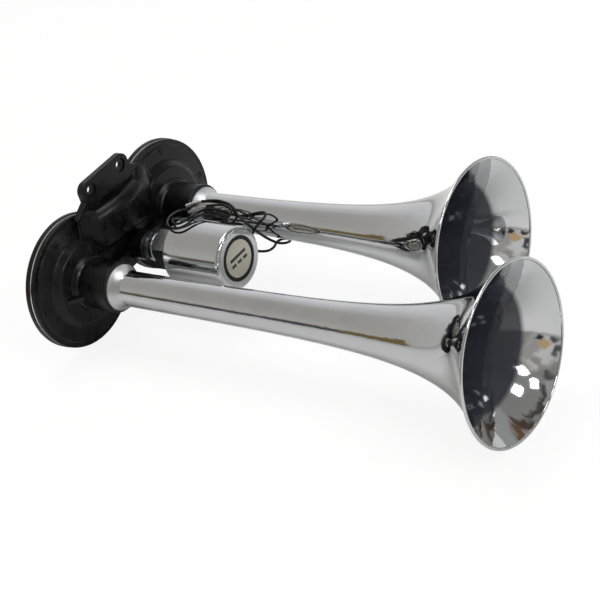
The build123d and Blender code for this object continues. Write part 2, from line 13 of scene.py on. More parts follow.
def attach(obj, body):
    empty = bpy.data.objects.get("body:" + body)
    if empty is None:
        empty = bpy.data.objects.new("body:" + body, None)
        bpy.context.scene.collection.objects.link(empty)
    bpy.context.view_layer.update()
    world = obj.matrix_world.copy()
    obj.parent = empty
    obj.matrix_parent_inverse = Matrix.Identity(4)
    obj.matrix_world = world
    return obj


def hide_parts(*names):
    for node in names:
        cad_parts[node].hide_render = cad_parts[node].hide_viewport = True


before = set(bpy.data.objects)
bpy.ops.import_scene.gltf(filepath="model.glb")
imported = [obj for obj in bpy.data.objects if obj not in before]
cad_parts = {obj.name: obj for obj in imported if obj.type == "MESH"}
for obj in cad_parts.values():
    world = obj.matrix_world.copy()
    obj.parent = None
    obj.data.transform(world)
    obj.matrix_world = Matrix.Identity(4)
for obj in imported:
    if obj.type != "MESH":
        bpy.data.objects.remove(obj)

MM = 0.001
AXIS_DROP = 53.0
HALF_SPACING = 46.75
BADGE_BORDER = 12.7
SMOOTH_ANGLE = radians(32.0)
NEAR = 0.1
HEX_SIDES = 6
GUIDE_STEPS = (12, 4)
COVER_STEPS = (6, 4)
STRAND_STEPS = (3, 2)
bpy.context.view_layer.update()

Point = tuple[float, float, float]
Colour = tuple[float, float, float]
Span = tuple[float, float]
Node = bpy.types.Node
Socket = bpy.types.NodeSocket
Inputs = dict[str | int, Any]

logging.basicConfig(level=logging.INFO, format="%(message)s")
log = logging.getLogger("air_horn")


def place(x: float, y: float, height: float) -> Vector:
    """A point in the frame, given in millimetres, its height from the trumpet axes up."""
    return Vector((x, y, height - AXIS_DROP)) * MM


def only(*bodies: bpy.types.Object) -> None:
    """Selects some objects and nothing else, with the last one active.

    Args:
        bodies: The objects, or none to select nothing.
    """
    bpy.ops.object.select_all(action="DESELECT")
    for body in bodies:
        body.select_set(True)
        bpy.context.view_layer.objects.active = body


# --- node trees ---
class Graph:
    """A node tree that is filled one node at a time."""

    def __init__(self, tree: bpy.types.NodeTree) -> None:
        """Starts on an emptied tree, of a material, a world or a group."""
        self.tree = tree
        tree.nodes.clear()

    def add(self, kind: str, inputs: Inputs | None = None, **settings: Any) -> Node:
        """Adds a node, sets its options, and sets or links its inputs.

        Args:
            kind: Blender's name for the node's type.
            inputs: Values, or output sockets to link, by input name or number.
            settings: Properties of the node itself.

        Returns:
            The new node.
        """
        node = self.tree.nodes.new(kind)
        for name, value in settings.items():
            setattr(node, name, value)
        for key, value in (inputs or {}).items():
            if isinstance(value, Socket):
                self.tree.links.new(value, node.inputs[key])
            else:
                node.inputs[key].default_value = value
        return node

    def spot(self) -> Socket:
        """The place on the object, in metres, which the patterns read."""
        return self.add("ShaderNodeTexCoord").outputs["Object"]

    def centred(self, x: float, y: float) -> Node:
        """X, Y and Z from a point on the trumpets' level, whose own x and y are millimetres."""
        moved = self.add("ShaderNodeMapping", {"Vector": self.spot(),
                                               "Location": (-x * MM, -y * MM, AXIS_DROP * MM)})
        return self.add("ShaderNodeSeparateXYZ", {0: moved.outputs[0]})

    def noise(self, **inputs: Any) -> Socket:
        """Soft noise from 0 to 1, given the texture's inputs by name."""
        return self.add("ShaderNodeTexNoise", inputs).outputs["Fac"]

    def ramp(self, factor: Socket, *stops: Span) -> Socket:
        """Maps a factor through a smooth grey ramp.

        Args:
            factor: The socket that drives the ramp.
            stops: Position and grey value of each of its two stops.

        Returns:
            The ramp's colour socket.
        """
        node = self.add("ShaderNodeValToRGB", {"Fac": factor})
        node.color_ramp.interpolation = "EASE"
        for element, (position, value) in zip(node.color_ramp.elements, stops):
            element.position = position
            element.color = (value, value, value, 1.0)
        return node.outputs["Color"]

    def mix(self, factor: Socket, low: Any, high: Any) -> Socket:
        """Mixes two colours.

        Args:
            factor: Zero for the low colour, one for the high one.
            low: A colour or a colour socket.
            high: A colour or a colour socket.

        Returns:
            The mixed colour socket.
        """
        ends = [end if isinstance(end, Socket) else (*end, 1.0) for end in (low, high)]
        inputs = {"Factor": factor, 6: ends[0], 7: ends[1]}
        return self.add("ShaderNodeMix", inputs, data_type="RGBA").outputs[2]

    def remap(self, value: Socket, source: Span, target: Span = (0.0, 1.0)) -> Socket:
        """Maps a value from a source range to a target range, held at its ends."""
        limits = dict(enumerate((*source, *target), 1))
        return self.add("ShaderNodeMapRange", {0: value, **limits}, clamp=True).outputs[0]

    def math(self, operation: str, *values: Any) -> Socket:
        """One arithmetic step, named as Blender names it, on numbers or sockets."""
        return self.add("ShaderNodeMath", dict(enumerate(values)), operation=operation).outputs[0]

    def dot(self, first: Socket, second: Socket) -> Socket:
        """How far two directions agree."""
        node = self.add("ShaderNodeVectorMath", {0: first, 1: second}, operation="DOT_PRODUCT")
        return node.outputs["Value"]

    def bump(self, height: Socket, depth: Any) -> Socket:
        """The normal of a relief, given its height and its depth in metres."""
        inputs = {"Height": height, "Distance": depth, "Strength": 1.0}
        return self.add("ShaderNodeBump", inputs).outputs["Normal"]


@dataclass(frozen=True)
class Effect:
    """A surface effect that several finishes share: a node group, made on first use.

    Attributes:
        name: The group's name.
        inputs: Name and default of each number that goes in.
        outputs: Name and socket type of each result.
        fill: Fills the group: takes its graph and input node, gives its results by name.
    """

    name: str
    inputs: dict[str, float]
    outputs: dict[str, str]
    fill: Callable[[Graph, Node], Inputs]

    def tree(self) -> bpy.types.NodeTree:
        """Finds or makes the group.

        Returns:
            The group's tree.
        """
        known = bpy.data.node_groups.get(self.name)
        if known:
            return known
        tree = bpy.data.node_groups.new(self.name, "ShaderNodeTree")
        for label, default in self.inputs.items():
            socket = tree.interface.new_socket(label, in_out="INPUT", socket_type="NodeSocketFloat")
            socket.default_value = default
        for label, kind in self.outputs.items():
            tree.interface.new_socket(label, in_out="OUTPUT", socket_type=kind)
        graph = Graph(tree)
        graph.add("NodeGroupOutput", self.fill(graph, graph.add("NodeGroupInput")))
        return tree

    def on(self, graph: Graph, **inputs: float) -> Node:
        """Adds the effect to a material's graph, with the numbers that go into it."""
        return graph.add("ShaderNodeGroup", inputs, node_tree=self.tree())


def fill_grain(graph: Graph, given: Node) -> Inputs:
    """Fine grain of a moulded or cast skin, with slow swells under it.

    Args:
        graph: The group's graph.
        given: Its input node: Size in grains per metre and Depth in metres.

    Returns:
        The group's Normal and Mask.
    """
    spot, size = graph.spot(), given.outputs["Size"]
    fine = graph.noise(Vector=spot, Scale=size, Detail=3.0, Roughness=0.55)
    swells = graph.noise(Vector=spot, Scale=graph.math("MULTIPLY", size, 0.09), Detail=2.0)
    height = graph.math("MULTIPLY_ADD", swells, 2.5, fine)
    return {"Normal": graph.bump(height, given.outputs["Depth"]),
            "Mask": graph.ramp(swells, (0.35, 0.0), (0.65, 1.0))}


def fill_edges(graph: Graph, given: Node) -> Inputs:
    """Mask of the outer edges, where a finish is rubbed thin.

    Args:
        graph: The group's graph.
        given: Its input node: Width in metres.

    Returns:
        The group's Mask.
    """
    plain = graph.add("ShaderNodeNewGeometry").outputs["Normal"]
    soft = graph.add("ShaderNodeBevel", {"Radius": given.outputs["Width"]}, samples=4)
    breaks = graph.noise(Vector=graph.spot(), Scale=260.0, Detail=4.0)
    edge = graph.remap(graph.dot(plain, soft.outputs["Normal"]), (0.99, 0.86))
    return {"Mask": graph.math("MULTIPLY", edge, graph.remap(breaks, (0.42, 0.62)))}


def fill_film(graph: Graph, given: Node) -> Inputs:
    """Mask of a thin uneven film and of handling marks, given Size in marks per metre."""
    cloud = graph.noise(Vector=graph.spot(), Scale=given.outputs["Size"], Detail=5.0,
                        Roughness=0.62, Distortion=0.6)
    return {"Mask": graph.ramp(cloud, (0.4, 0.0), (0.75, 1.0))}


MASK = {"Mask": "NodeSocketFloat"}
GRAIN = Effect("skin_grain", {"Size": 900.0, "Depth": 0.00002},
               {"Normal": "NodeSocketVector", **MASK}, fill_grain)
EDGES = Effect("rubbed_edges", {"Width": 0.0006}, MASK, fill_edges)
FILM = Effect("thin_film", {"Size": 30.0}, MASK, fill_film)


# --- finishes ---
@dataclass(frozen=True)
class Finish:
    """A finish that builds its own material once.

    Attributes:
        name: The material's name.
        low: Colour of the plain surface, or of its grooves.
        high: Colour of its marks, its bloom or its ridges.
        roughness: Least and greatest roughness.
        marks: Marks, grains or rings per metre.
        depth: Height of the grain or the rings, in metres.
        grains: Grains per metre under the marks; zero for none.
        metallic: One for a metal.
        lustre: Index of refraction.
    """

    name: str
    low: Colour
    high: Colour
    roughness: Span
    marks: float
    depth: float = 0.0
    grains: float = 0.0
    metallic: float = 0.0
    lustre: float = 1.5

    def material(self) -> bpy.types.Material:
        """Finds or makes the material.

        Returns:
            The material.
        """
        known = bpy.data.materials.get(self.name)
        if known:
            return known
        made = bpy.data.materials.new(self.name)
        made.use_nodes = True
        graph = Graph(made.node_tree)
        shader = graph.add("ShaderNodeBsdfPrincipled", self.skin(graph))
        graph.add("ShaderNodeOutputMaterial", {"Surface": self.surface(graph, shader)})
        return made

    def skin(self, graph: Graph) -> Inputs:
        """Colour and gloss that vary with a film, over a grain if there is one.

        Args:
            graph: The material's graph.

        Returns:
            What goes into the Principled shader, by input name.
        """
        film = FILM.on(graph, Size=self.marks).outputs["Mask"]
        inputs = {"Base Color": graph.mix(film, self.low, self.high),
                  "Roughness": graph.remap(film, (0.0, 1.0), self.roughness),
                  "Metallic": self.metallic, "IOR": self.lustre}
        if self.grains:
            grain = GRAIN.on(graph, Size=self.grains, Depth=self.depth)
            inputs["Normal"] = grain.outputs["Normal"]
        return inputs

    def surface(self, graph: Graph, shader: Node) -> Socket:
        """What the material shows: the shader, unless a finish lays more over it."""
        return shader.outputs["BSDF"]


@dataclass(frozen=True)
class MouldedBlack(Finish):
    """Semi-gloss black of the casting and the covers.

    Attributes:
        edge_width: Width of a rubbed edge, in metres.
        edge_share, edge_colour: How much of its own colour a rubbed edge shows, and that colour.
    """

    low: Colour = (0.0020, 0.0021, 0.0024)
    high: Colour = (0.0060, 0.0061, 0.0067)
    roughness: Span = (0.22, 0.35)
    marks: float = 1100.0
    depth: float = 0.000012
    lustre: float = 1.35
    edge_width: float = 0.0007
    edge_share: float = 0.55
    edge_colour: Colour = (0.035, 0.035, 0.037)

    def skin(self, graph: Graph) -> Inputs:
        """Grain, uneven gloss and slightly paler edges.

        Args:
            graph: The material's graph.

        Returns:
            What goes into the Principled shader, by input name.
        """
        grain = GRAIN.on(graph, Size=self.marks, Depth=self.depth)
        mask = grain.outputs["Mask"]
        edges = EDGES.on(graph, Width=self.edge_width).outputs["Mask"]
        rubbed = graph.math("MULTIPLY", edges, self.edge_share)
        colour = graph.mix(rubbed, graph.mix(mask, self.low, self.high), self.edge_colour)
        return {"Base Color": colour, "Roughness": graph.remap(mask, (0.0, 1.0), self.roughness),
                "Normal": grain.outputs["Normal"], "IOR": self.lustre}


@dataclass(frozen=True)
class SoftCover(Finish):
    """Soft black rubber, or the insulation of a lead, with a bloom and a fine grain."""

    low: Colour = (0.012, 0.012, 0.012)
    high: Colour = (0.032, 0.031, 0.030)
    roughness: Span = (0.55, 0.8)
    marks: float = 220.0
    depth: float = 0.000015
    grains: float = 1600.0


@dataclass(frozen=True)
class BrightMetal(Finish):
    """Plated or bare bright metal, faintly clouded: high is its colour under the film."""

    low: Colour = (0.615, 0.62, 0.625)
    high: Colour = (0.57, 0.575, 0.585)
    roughness: Span = (0.045, 0.10)
    marks: float = 26.0
    metallic: float = 1.0


@dataclass(frozen=True)
class BellPlate(BrightMetal):
    """Chrome of a trumpet, with painted shade inside its bell: past a set depth a dark slate shader
    stands in for the darkness deep in the throat.

    Attributes:
        axis_y, rim_x: The trumpet's axis from the middle plane, and its mouth, in millimetres.
        shade_depth, fade: How far into the bell the painted shade begins, and width of its soft
            edge.
        bare, throat_shade_high, throat_shade_marks: Dark slate colours of the painted shade of the
        throat, and its marks.
        throat_shade_gloss: Its roughness, and its index of refraction.
        seat: Where the satin collar at the seat has faded out, and where it is whole.
        satin: Roughness that the collar adds.
    """

    axis_y: float = 0.0
    rim_x: float = 335.5
    shade_depth: float = 17.0
    fade: float = 2.4
    # painted shade: dark slate colours for the inside of the bell past a set depth, in place of the
    # darkness deep in its throat
    bare: Colour = (0.030, 0.034, 0.048)
    throat_shade_high: Colour = (0.040, 0.045, 0.060)
    throat_shade_marks: float = 60.0
    throat_shade_gloss: Span = (0.09, 1.7)
    seat: Span = (44.5, 42.0)
    satin: float = 0.34

    def skin(self, graph: Graph) -> Inputs:
        """The bright plate with its satin collar.

        Args:
            graph: The material's graph.

        Returns:
            What goes into the Principled shader, by input name.
        """
        inputs = super().skin(graph)
        ends = tuple((end - self.rim_x) * MM for end in self.seat)
        collar = graph.remap(graph.centred(self.rim_x, self.axis_y).outputs["X"], ends)
        inputs["Roughness"] = graph.math("MULTIPLY_ADD", collar, self.satin, inputs["Roughness"])
        return inputs

    def surface(self, graph: Graph, shader: Node) -> Socket:
        """Lays painted shade over the inside of the bell: a dark slate shader past a set depth.

        Args:
            graph: The material's graph.
            shader: The plate's shader.

        Returns:
            The two together.
        """
        parts = graph.centred(self.rim_x, self.axis_y).outputs
        outward = graph.add("ShaderNodeCombineXYZ", {"Y": parts["Y"], "Z": parts["Z"]}).outputs[0]
        normal = graph.add("ShaderNodeNewGeometry").outputs["Normal"]
        inside = graph.math("LESS_THAN", graph.dot(normal, outward), 0.0)
        # mask of the painted shade: inside faces of the bell past a set depth, with a soft edge
        edge = tuple((-self.shade_depth + side * self.fade / 2) * MM for side in (1, -1))
        share = graph.math("MULTIPLY", inside, graph.remap(parts["X"], edge))
        film = FILM.on(graph, Size=self.throat_shade_marks).outputs["Mask"]
        roughness, lustre = self.throat_shade_gloss
        # the painted shade of the throat: a dark slate shader mixed over the chrome
        throat_shade_shader = graph.add("ShaderNodeBsdfPrincipled", {
            "Base Color": graph.mix(film, self.bare, self.throat_shade_high),
            "Roughness": roughness, "IOR": lustre})
        both = {0: share, 1: shader.outputs[0], 2: throat_shade_shader.outputs[0]}
        return graph.add("ShaderNodeMixShader", both).outputs[0]


@dataclass(frozen=True)
class TurnedMetal(Finish):
    """Metal with the fine rings that a lathe or a brush leaves about the valve's axis.

    Attributes:
        facing: True for rings on a face across the axis, False for rings along it.
        border_r: Radius past which the face is printed, in millimetres; zero for none.
        border_fade, print_colour: Half the width of the print's edge, and its colour.
        film_marks, film_share: Marks of the film per metre, and how much it changes the colour.
    """

    low: Colour = (0.42, 0.43, 0.44)
    high: Colour = (0.60, 0.61, 0.62)
    roughness: Span = (0.22, 0.38)
    marks: float = 3200.0
    depth: float = 0.000006
    metallic: float = 1.0
    facing: bool = False
    border_r: float = 0.0
    border_fade: float = 0.1
    print_colour: Colour = (0.012, 0.012, 0.013)
    film_marks: float = 90.0
    film_share: float = 0.35

    def skin(self, graph: Graph) -> Inputs:
        """Rings from a noise that changes only along or away from the axis.

        Args:
            graph: The material's graph.

        Returns:
            What goes into the Principled shader, by input name.
        """
        parts = graph.centred(0.0, 0.0).outputs
        along = parts["X"]
        if self.facing:
            square = graph.math("MULTIPLY", parts["Y"], parts["Y"])
            along = graph.math("SQRT", graph.math("MULTIPLY_ADD", parts["Z"], parts["Z"], square))
        rings = graph.add("ShaderNodeTexNoise", {"W": along, "Scale": self.marks, "Detail": 3.0},
                          noise_dimensions="1D").outputs["Fac"]
        film = FILM.on(graph, Size=self.film_marks).outputs["Mask"]
        shade = graph.math("MULTIPLY_ADD", film, self.film_share, rings)
        colour = graph.mix(shade, self.low, self.high)
        if self.border_r:
            border = tuple((self.border_r + side * self.border_fade) * MM for side in (-1, 1))
            colour = graph.mix(graph.remap(along, border), colour, self.print_colour)
        return {"Base Color": colour, "Roughness": graph.remap(rings, (0.3, 0.7), self.roughness),
                "Normal": graph.bump(rings, self.depth), "Metallic": self.metallic}


CASTING = MouldedBlack("black_casting_skin")
COVER = MouldedBlack("black_cover_skin", roughness=(0.34, 0.5), marks=1500.0)
LONG_CHROME = BellPlate("long_chrome_skin", axis_y=-HALF_SPACING, rim_x=335.5)
SHORT_CHROME = BellPlate("short_chrome_skin", axis_y=HALF_SPACING, rim_x=262.8)
CAN_CHROME = BrightMetal("can_plate_skin", roughness=(0.06, 0.13), marks=40.0)
# painted shade: the rolled edge is dull metal, much darker than the can, standing in for the thin
# dark line along the can's edge
CAN_EDGE = BrightMetal("can_edge_skin", (0.30, 0.30, 0.31), (0.24, 0.24, 0.25), (0.30, 0.42), 60.0)
RING_BRIGHT = BrightMetal("bright_ring_skin", low=(0.86, 0.86, 0.84), roughness=(0.14, 0.26),
                          marks=90.0)
ZINC = TurnedMetal("zinc_steel_skin", roughness=(0.12, 0.26))
SPRING_STEEL = TurnedMetal("spring_steel_skin", (0.4, 0.4, 0.4), (0.6, 0.6, 0.6))
SOFT_IRON = TurnedMetal("soft_iron_skin", (0.30, 0.30, 0.31), (0.46, 0.46, 0.47))
BADGE_METAL = TurnedMetal("badge_metal_skin", (0.50, 0.47, 0.40), (0.66, 0.62, 0.54),
                          marks=2600.0, facing=True, border_r=BADGE_BORDER)
SCREW_STEEL = BrightMetal("screw_steel_skin", (0.16, 0.16, 0.17), (0.24, 0.23, 0.22),
                          (0.3, 0.5), 300.0)
TINNED = BrightMetal("tinned_strand_skin", (0.82, 0.81, 0.79), (0.66, 0.64, 0.60),
                     (0.2, 0.36), 400.0)
RUBBER = SoftCover("gasket_rubber_skin")
BADGE_BLACK = MouldedBlack("badge_black_skin", roughness=(0.16, 0.24), marks=500.0, depth=0.000004)
BADGE_PRINT = MouldedBlack("badge_print_skin", (0.03, 0.028, 0.026), (0.055, 0.05, 0.047),
                           (0.35, 0.5), 900.0)
NYLON = MouldedBlack("bobbin_skin", (0.62, 0.59, 0.52), (0.72, 0.69, 0.62))
WINDING = TurnedMetal("winding_skin", (0.32, 0.12, 0.04), (0.62, 0.30, 0.12), marks=2200.0,
                      depth=0.00004)
LEAD_COVER = SoftCover("lead_cover_skin", (0.003, 0.003, 0.0035), (0.009, 0.009, 0.010),
                       (0.2, 0.38), 160.0, grains=700.0, depth=0.00001, lustre=1.36)


def dress_nodes(finishes: dict[str, Finish]) -> None:
    """Gives each CAD node, by its name, the finish of all its faces."""
    for name, finish in finishes.items():
        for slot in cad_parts[name].material_slots:
            slot.material = finish.material()


# --- modelling ---
class Shaper:
    """One new piece, modelled in metres about the origin and then set in its place."""

    def __init__(self, name: str) -> None:
        """Takes the active object.

        Args:
            name: The piece's name.
        """
        self.body = bpy.context.object
        self.body.name = name
        only(self.body)
        bpy.ops.object.transform_apply(location=True, rotation=True, scale=True)

    def modify(self, kind: str, **settings: Any) -> "Shaper":
        """Adds a modifier and applies it.

        Args:
            kind: Blender's name for the modifier.
            settings: Its properties.

        Returns:
            This piece.
        """
        made = self.body.modifiers.new(kind.lower(), kind)
        for name, value in settings.items():
            setattr(made, name, value)
        only(self.body)
        bpy.ops.object.modifier_apply(modifier=made.name)
        return self

    def edit(self, pick: Callable[[Any], bool],
             *steps: tuple[Callable[..., Any], dict[str, Any]]) -> "Shaper":
        """Selects faces in edit mode and runs operators on them.

        Args:
            pick: True for each face to select.
            steps: Each an operator and its options.

        Returns:
            This piece.
        """
        only(self.body)
        bpy.ops.object.mode_set(mode="EDIT")
        bpy.ops.mesh.select_mode(type="FACE")
        bpy.ops.mesh.select_all(action="DESELECT")
        mesh = bmesh.from_edit_mesh(self.body.data)
        for face in mesh.faces:
            face.select_set(pick(face))
        bmesh.update_edit_mesh(self.body.data)
        for operator, options in steps:
            operator(**options)
        bpy.ops.object.mode_set(mode="OBJECT")
        return self

    def copy(self, name: str, placed: Matrix) -> "Shaper":
        """Copies the piece with its own mesh.

        Args:
            name: The copy's name.
            placed: Where the copy goes.

        Returns:
            The copy.
        """
        twin = self.body.copy()
        twin.data = self.body.data.copy()
        bpy.context.collection.objects.link(twin)
        twin.matrix_world = placed
        only(twin)
        return Shaper(name)

    def join(self, others: Sequence["Shaper"]) -> "Shaper":
        """Joins other pieces into this one.

        Args:
            others: The pieces to take in.

        Returns:
            This piece.
        """
        only(*(other.body for other in others), self.body)
        bpy.ops.object.join()
        return self

    def drop(self) -> None:
        """Takes the piece out of the scene, once its copies are made."""
        bpy.data.objects.remove(self.body)

    def done(self, finish: Finish, slot: str, *replaced: str) -> None:
        """Args:
            finish: Its finish.
            slot: Name of a record's slot that it belongs to; not used.
            replaced: CAD nodes that it stands for.
        """
        only(self.body)
        bpy.ops.object.shade_smooth_by_angle(angle=SMOOTH_ANGLE)
        self.body.data.materials.clear()
        self.body.data.materials.append(finish.material())
        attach(self.body, "horn")
        if replaced:
            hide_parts(*replaced)


def rod(name: str, radius: float, start: float, end: float, sides: int = 32) -> Shaper:
    """A round or many-sided bar along X.

    Args:
        name: Its name.
        radius: Its radius, in millimetres.
        start: Its first end, in millimetres along X.
        end: Its other end.
        sides: How many sides it has.

    Returns:
        The bar.
    """
    only()
    bpy.ops.mesh.primitive_cylinder_add(
        vertices=sides, radius=radius * MM, depth=(end - start) * MM,
        location=((start + end) / 2 * MM, 0.0, 0.0), rotation=(0.0, pi / 2, 0.0))
    return Shaper(name)


@dataclass
class Thread:
    """The ridge of a screw thread about X, in millimetres.

    Attributes:
        name: Its name.
        x, height: Its start from the tab's back face, and its axis above the trumpet axes.
        radius, ridge: Radius of its foot, and how far it rises; below zero it points inwards.
        pitch, turns, steps: From turn to turn, number of turns, and sections in a turn.
    """

    name: str
    x: float
    height: float
    radius: float
    ridge: float
    pitch: float
    turns: int
    steps: int = 40

    def build(self) -> Shaper:
        """Winds the ridge at the origin, and sets a copy in its place.

        Returns:
            The ridge in its place.
        """
        only()
        bpy.ops.mesh.primitive_circle_add(
            vertices=3, radius=abs(self.ridge) * MM, fill_type="NOTHING",
            location=(0.0, self.radius * MM, 0.0),
            rotation=(0.0, 0.0, 0.0 if self.ridge > 0 else pi))
        coil = Shaper(f"{self.name}_ridge")
        coil.modify("SCREW", axis="X", angle=2 * pi, screw_offset=self.pitch * MM,
                    iterations=self.turns, steps=self.steps, render_steps=self.steps,
                    use_merge_vertices=False, use_normal_calculate=True)
        spot = Matrix.Translation(place(self.x, 0.0, self.height))
        placed = coil.copy(f"{self.name}_thread", spot)
        coil.drop()
        return placed


def near_x(x: float, after: float = NEAR) -> Callable[[Any], bool]:
    """Picks faces whose middle lies between x - after and x + NEAR, in millimetres."""
    return lambda face: (x - after) * MM <= face.calc_center_median()[0] <= (x + NEAR) * MM


# --- leads ---
def wire(name: str, runs: Sequence[Sequence[Vector]], radius: float,
         steps: tuple[int, int]) -> bpy.types.Object:
    """Smooth round wires on their control points.

    Args:
        name: The object's name.
        runs: The control points of each wire, in metres.
        radius: Their radius in metres, or zero for bare lines.
        steps: Steps along a stretch of wire, and round it.

    Returns:
        The curve object, in the scene.
    """
    curve = bpy.data.curves.new(name, "CURVE")
    curve.dimensions = "3D"
    curve.resolution_u, curve.bevel_resolution = steps
    curve.bevel_depth = radius
    curve.use_fill_caps = True
    for run in runs:
        spline = curve.splines.new("NURBS")
        spline.points.add(len(run) - 1)
        for control, point in zip(spline.points, run):
            control.co = (*point, 1.0)
        spline.order_u = 3
        spline.use_endpoint_u = True
    made = bpy.data.objects.new(name, curve)
    bpy.context.collection.objects.link(made)
    return made


@dataclass
class Lead:
    """One thin lead: an insulated run and a bare stranded tip.

    Attributes:
        name: Name of the lead's node.
        start_x: Where it leaves the grommet, along the valve, in millimetres.
        route: Its points, in millimetres, height above the trumpet axes last.
        tip_end: The end of the bare strands.
        length: Length of the insulated run, in metres; not used.
        diameter: Its diameter, in millimetres.
        stand_off: How far it goes straight on from the grommet, and from its insulation.
        outlet_r, outlet_angle: The outlet's distance from the valve's axis, and its direction.
        strand_r, lay_length: A strand's radius, and the length in which it goes once round.
        outer_strands: Strands that are laid round the middle one.
    """

    name: str
    start_x: float
    route: list[Point]
    tip_end: Point
    length: float
    diameter: float = 1.8
    stand_off: float = 4.7
    outlet_r: float = 24.0
    outlet_angle: float = -22.0
    strand_r: float = 0.33
    outer_strands: int = 6
    lay_length: float = 13.0

    def points(self) -> list[Vector]:
        """Lays out the insulated run.

        Returns:
            Its control points, in metres.
        """
        angle = radians(self.outlet_angle)
        outward = Vector((0.0, cos(angle), sin(angle)))
        first = Vector((self.start_x, 0.0, 0.0)) + outward * self.outlet_r
        second = first + outward * self.stand_off
        return [place(*first), place(*second)] + [place(*point) for point in self.route]

    def tip_line(self) -> list[Vector]:
        """Reads points along the smooth line of the bare tip.

        Returns:
            The points in order, in metres.
        """
        before, last = self.points()[-2:]
        onward = (last - before).normalized() * self.stand_off * MM
        guide = wire("guide", [[last, last + onward, place(*self.tip_end)]], 0.0, GUIDE_STEPS)
        mesh = bpy.data.meshes.new_from_object(guide)
        read = [vertex.co.copy() for vertex in mesh.vertices]
        bpy.data.meshes.remove(mesh)
        bpy.data.objects.remove(guide)
        return read

    def strands(self) -> bpy.types.Object:
        """The bare tip: strands laid round a middle one.

        Returns:
            The strands, as one curve object.
        """
        path = self.tip_line()
        runs: list[list[Vector]] = [[] for _ in range(self.outer_strands + 1)]
        ring_r = 2 * self.strand_r * MM
        length = 0.0
        for k, point in enumerate(path):
            length += (point - path[k - 1]).length if k else 0.0
            ahead = path[min(k + 1, len(path) - 1)] - path[max(k - 1, 0)]
            side = ahead.cross(Vector((0.0, 0.0, 1.0))).normalized()
            over = side.cross(ahead).normalized()
            for strand in range(self.outer_strands):
                turn = 2 * pi * (length / (self.lay_length * MM) + strand / self.outer_strands)
                offset = (side * cos(turn) + over * sin(turn)) * ring_r
                runs[strand].append(point + offset)
            runs[-1].append(point)
        return wire(f"{self.name}_strands", runs, self.strand_r * MM, STRAND_STEPS)

    def build(self) -> None:
        cover = wire(f"{self.name}_cover", [self.points()], self.diameter / 2 * MM, COVER_STEPS)
        tip = self.strands()
        for piece, node, finish, slot in ((cover, self.name, LEAD_COVER, "wire_cover"),
                                          (tip, f"{self.name}_tip", TINNED, "tinned_copper")):
            piece.data.materials.append(finish.material())
            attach(piece, "horn")
            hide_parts(node)
        log.info("%s: lead and stranded tip", self.name)


ROUTE_A: list[Point] = [
    (63.6, 29.2, -12.9), (69.0, 29.6, -13.8), (77.5, 29.4, -14.8), (86.0, 28.4, -15.0),
    (93.4, 28.4, -15.2), (98.6, 31.0, -15.6), (99.4, 36.4, -15.6), (96.8, 41.4, -15.8),
    (97.4, 46.6, -16.8), (101.6, 48.8, -17.2), (106.2, 46.2, -16.6), (106.6, 40.6, -14.8),
    (104.4, 36.0, -12.2), (102.2, 32.4, -7.8), (98.8, 29.6, -2.6), (94.4, 28.4, 2.8),
    (88.0, 28.8, 7.1), (80.6, 31.8, 10.1), (72.2, 35.6, 12.6), (63.4, 38.8, 13.4),
    (54.4, 39.6, 13.2), (46.0, 38.4, 13.2), (40.2, 36.2, 12.0), (36.2, 30.6, 10.6),
    (37.2, 23.2, 14.8), (39.8, 14.8, 18.4), (43.2, 6.4, 21.2), (48.2, -1.6, 22.8),
    (55.0, -7.0, 22.8), (62.4, -6.6, 22.9), (66.6, -1.4, 23.5), (67.0, 5.4, 23.6),
    (66.2, 12.4, 22.2), (66.2, 19.2, 17.2), (68.0, 24.0, 11.0), (72.0, 26.0, 6.6),
    (79.2, 26.4, 7.0), (83.0, 29.6, 12.2), (77.0, 33.0, 17.0), (67.6, 34.8, 18.0),
    (58.6, 35.6, 17.6), (49.8, 33.6, 16.8),
]
ROUTE_B: list[Point] = [
    (57.8, 30.0, -13.0), (62.6, 30.8, -16.8), (71.0, 28.4, -18.4), (80.2, 26.2, -16.8),
    (87.2, 25.0, -12.0), (90.6, 24.8, -6.2), (93.0, 24.8, -0.8), (96.0, 25.0, 3.6),
    (99.2, 26.0, 7.4), (102.8, 28.2, 10.6), (104.2, 32.6, 12.2), (101.2, 36.4, 12.2),
    (96.6, 37.0, 11.2), (92.8, 36.6, 10.4), (89.2, 36.0, 9.6), (83.0, 34.8, 8.2),
    (76.0, 34.4, 7.6), (67.4, 35.2, 8.6), (58.2, 36.0, 9.4), (50.2, 35.2, 9.6),
    (44.4, 32.2, 8.4), (40.8, 26.2, 6.8), (41.2, 19.2, 11.6), (43.6, 12.4, 16.6),
    (47.2, 5.8, 21.0), (51.6, 0.2, 23.0), (57.2, -3.2, 23.2), (62.4, 0.8, 23.6),
    (63.0, 8.2, 22.9), (62.4, 15.6, 19.6), (62.4, 22.0, 15.0), (65.4, 26.0, 11.6),
    (71.0, 25.6, 10.2), (75.8, 26.6, 11.0), (76.6, 31.2, 13.2), (72.4, 34.0, 14.6),
    (66.8, 34.4, 15.2), (60.4, 33.4, 15.2), (54.2, 31.8, 14.6),
]


@dataclass
class LeadHank:
    """The two leads, folded in a loose hank between the valve and the short trumpet."""

    leads: list[Lead] = field(default_factory=lambda: [
        Lead("lead_a", 60.5, ROUTE_A, (38.6, 28.4, 15.2), 0.3033),
        Lead("lead_b", 57.5, ROUTE_B, (41.0, 26.8, 11.2), 0.2514),
    ])

    def build(self) -> None:
        """Builds both leads and dresses their grommet."""
        for lead in self.leads:
            lead.build()
        dress_nodes({"wire_grommet": RUBBER})


# --- horns, casting, valve ---
class Side(Enum):
    """The two horns, with the side of the middle plane that each lies on."""

    LONG = -1
    SHORT = 1

    @property
    def prefix(self) -> str:
        """Prefix of the horn's nodes."""
        return self.name.lower()


